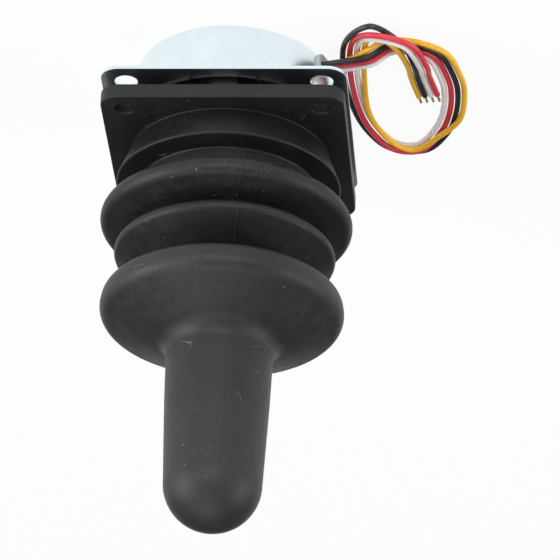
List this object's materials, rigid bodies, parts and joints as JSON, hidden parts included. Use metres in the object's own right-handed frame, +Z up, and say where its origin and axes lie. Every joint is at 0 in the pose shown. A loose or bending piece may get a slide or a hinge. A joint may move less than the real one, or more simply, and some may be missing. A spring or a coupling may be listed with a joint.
{
  "type": "industrial joystick",
  "caption": "Panel-mount two-axis joystick: rubber grip and bellows boot over a sprung gimbal, on a square steel flange with a round can and flying leads.",
  "frame": {"origin": "centre of the can's flat floor, on the surface that the joystick stands on", "axes": "+Z up along the lever, towards the grip's tip; X and Y parallel to the flange's sides; the leads leave towards -X"},
  "size_m": [0.0844, 0.0649, 0.1198],
  "materials": {
    "zinc_steel": "drawn sheet with a pale bluish zinc plating",
    "black_plastic": "moulded glass-filled nylon, fine matt grain",
    "boot_rubber": "matt black rubber with fine dust and lint",
    "grip_rubber": "matt black rubber with fine dust and lint",
    "core_plastic": "moulded grey-black nylon",
    "ground_steel": "ground and polished",
    "nut_steel": "zinc-plated",
    "cast_zinc": "bead-blasted die casting",
    "bronze": "sintered bronze, oiled",
    "spring_steel": "drawn spring wire",
    "gate_steel": "stamped sheet, deburred",
    "screw_steel": "zinc-plated",
    "board": "green solder mask with bare pads",
    "chip": "moulded epoxy",
    "film": "amber insulating film",
    "natural_nylon": "natural nylon",
    "magnet": "nickel-plated",
    "lead_pvc": "PVC insulation",
    "grommet_rubber": "pale grey silicone rubber",
    "black_pvc": "PVC insulation, satin",
    "red_pvc": "PVC insulation, satin",
    "white_pvc": "translucent white PVC insulation, satin",
    "yellow_pvc": "PVC insulation, satin",
    "tin": "stripped and tinned copper strands"
  },
  "bodies": {
    "base": {"shield_can": "zinc_steel", "gimbal_housing": "black_plastic", "boot_flange": "boot_rubber", "lower_bellows": "boot_rubber", "fore_aft_bushes": "bronze", "fore_aft_spring": "spring_steel", "boot_clamp_ring": "black_plastic", "gate_plate": "gate_steel", "gate_screws": "screw_steel", "base_screws": "screw_steel", "circuit_board": "board", "board_screws": "screw_steel", "hall_sensors": "chip", "board_parts": "chip", "insulating_sheet": "film", "inner_leads": "lead_pvc", "wire_grommet": "grommet_rubber", "black_wire": "black_pvc", "red_wire": "red_pvc", "white_wire": "white_pvc", "yellow_wire": "yellow_pvc", "tinned_ends": "tin"},
    "gimbal": {"gimbal_frame": "cast_zinc", "side_pin": "ground_steel", "fore_aft_pins": "ground_steel", "pivot_spacers": "bronze", "side_spring": "spring_steel", "upper_bellows": "boot_rubber"},
    "lever": {"grip_sleeve": "grip_rubber", "grip_core": "core_plastic", "lever_shaft": "ground_steel", "lock_nut": "nut_steel", "lever_hub": "cast_zinc", "hub_bushes": "bronze", "magnet_holder": "natural_nylon", "sensing_magnet": "magnet"}
  },
  "joints": [
    {"name": "fore_aft_tilt", "type": "hinge", "parent": "base", "child": "gimbal", "pos_m": [0, 0, 0.0158], "axis": [1, 0, 0], "range_deg": [-18, 18], "stiffness_Nm_per_rad": 0.6, "deforming": ["lower_bellows", "fore_aft_spring"]},
    {"name": "side_tilt", "type": "hinge", "parent": "gimbal", "child": "lever", "pos_m": [0, 0, 0.0158], "axis": [0, 1, 0], "range_deg": [-18, 18], "stiffness_Nm_per_rad": 0.6, "deforming": ["upper_bellows", "side_spring"]}
  ]
}
